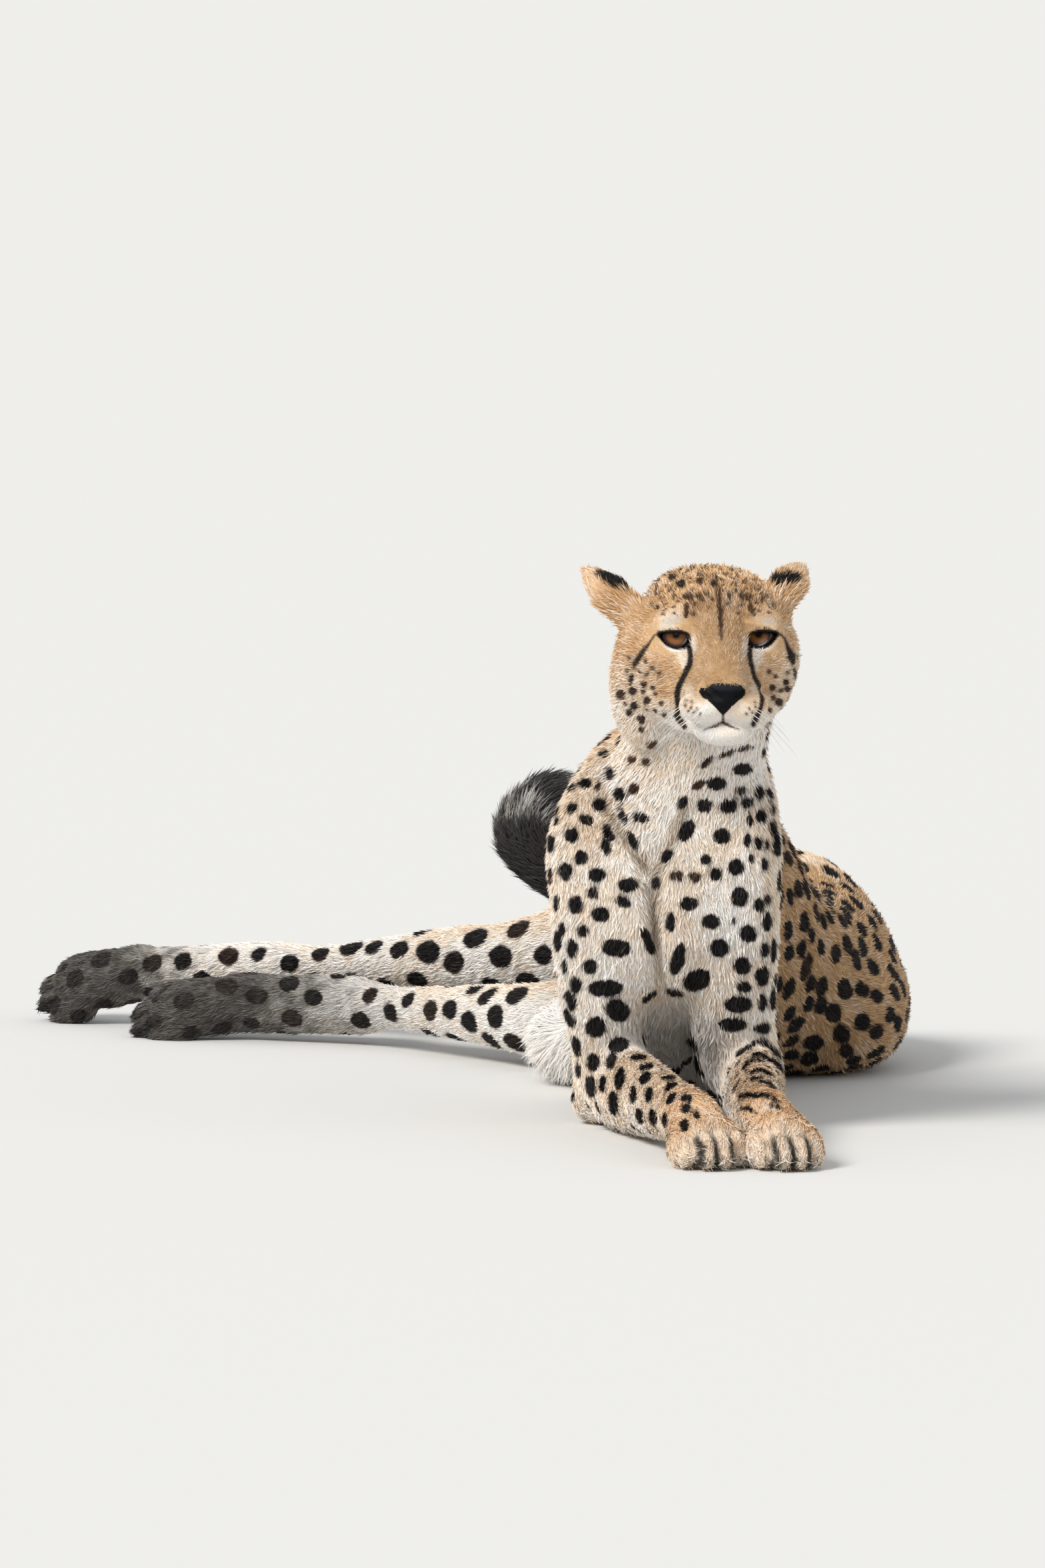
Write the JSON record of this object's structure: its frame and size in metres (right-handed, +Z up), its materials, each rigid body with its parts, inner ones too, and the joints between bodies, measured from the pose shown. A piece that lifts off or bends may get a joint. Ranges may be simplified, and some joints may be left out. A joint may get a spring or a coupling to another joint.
{
  "type": "cheetah model",
  "caption": "Life-size museum model of a cheetah resting on chest and hip, forelegs stretched ahead, hind legs to its right, tail curled up behind.",
  "frame": {"origin": "middle of the footprint, on the floor", "axes": "+Z up; -Y the way the animal faces; +X towards its left"},
  "size_m": [0.7864, 1.2416, 0.4905],
  "materials": {
    "coat": "short tawny fur with solid dark spots",
    "pale_coat": "short cream fur with solid dark spots",
    "dusty_foot": "dusty dark brown fur",
    "dark_tail": "bushy dark ringed fur with a pale tip",
    "eye": "wet amber iris with a small black pupil",
    "nose_leather": "pebbled black skin with a soft shine",
    "claw": "smooth dark horn",
    "whisker": "stiff white hair"
  },
  "bodies": {
    "root": {"ear_right": "coat", "ear_left": "coat", "head": "coat", "neck": "pale_coat", "chest": "pale_coat", "abdomen": "coat", "pelvis": "coat", "upper_arm_right": "pale_coat", "upper_arm_left": "pale_coat", "forearm_right": "coat", "forearm_left": "coat", "forepaw_right": "coat", "forepaw_left": "coat", "thigh_right": "coat", "thigh_left": "pale_coat", "shank_right": "pale_coat", "shank_left": "pale_coat", "hind_foot_right": "dusty_foot", "hind_foot_left": "dusty_foot", "tail_base": "coat", "tail_middle": "coat", "tail_tip": "dark_tail", "eye_right": "eye", "eye_left": "eye"}
  },
  "joints": []
}
